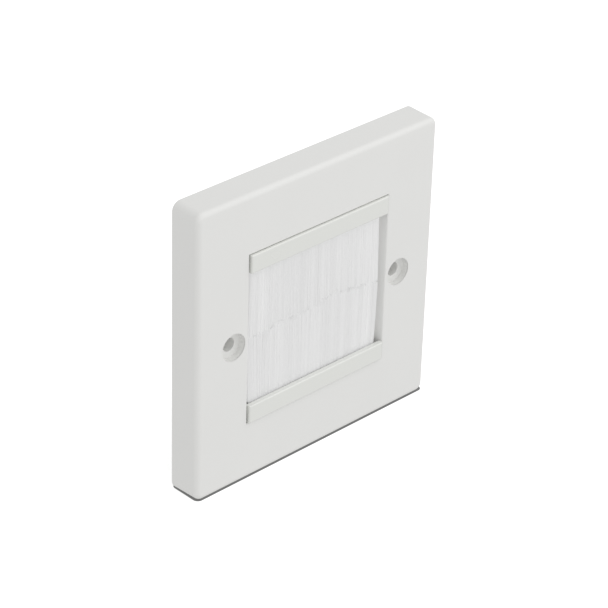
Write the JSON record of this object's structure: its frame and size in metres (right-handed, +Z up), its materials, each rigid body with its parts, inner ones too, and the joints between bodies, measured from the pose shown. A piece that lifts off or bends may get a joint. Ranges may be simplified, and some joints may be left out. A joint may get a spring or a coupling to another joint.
{
  "type": "brush wall plate",
  "caption": "Square white wall plate with a framed brush entry: two facing rows of bristles close the opening round the cables that pass into the wall.",
  "frame": {"origin": "centre of the two fixing screws, in the plane of the plate's back rim, where it meets the wall", "axes": "+X along the wall to the right as seen from the room, +Y into the wall, +Z up"},
  "size_m": [0.086, 0.0102, 0.086],
  "materials": {
    "plate_plastic": "satin white moulded urea",
    "holder_plastic": "satin warm white moulded ABS",
    "bristle_nylon": "translucent white nylon filament",
    "channel_steel": "zinc-plated strip"
  },
  "bodies": {
    "root": {"face_plate": "plate_plastic", "upper_brush_holder": "holder_plastic", "lower_brush_holder": "holder_plastic", "upper_brush_channel": "channel_steel", "lower_brush_channel": "channel_steel", "upper_core_wire": "channel_steel", "lower_core_wire": "channel_steel", "upper_bristles": "bristle_nylon", "lower_bristles": "bristle_nylon"}
  },
  "joints": []
}
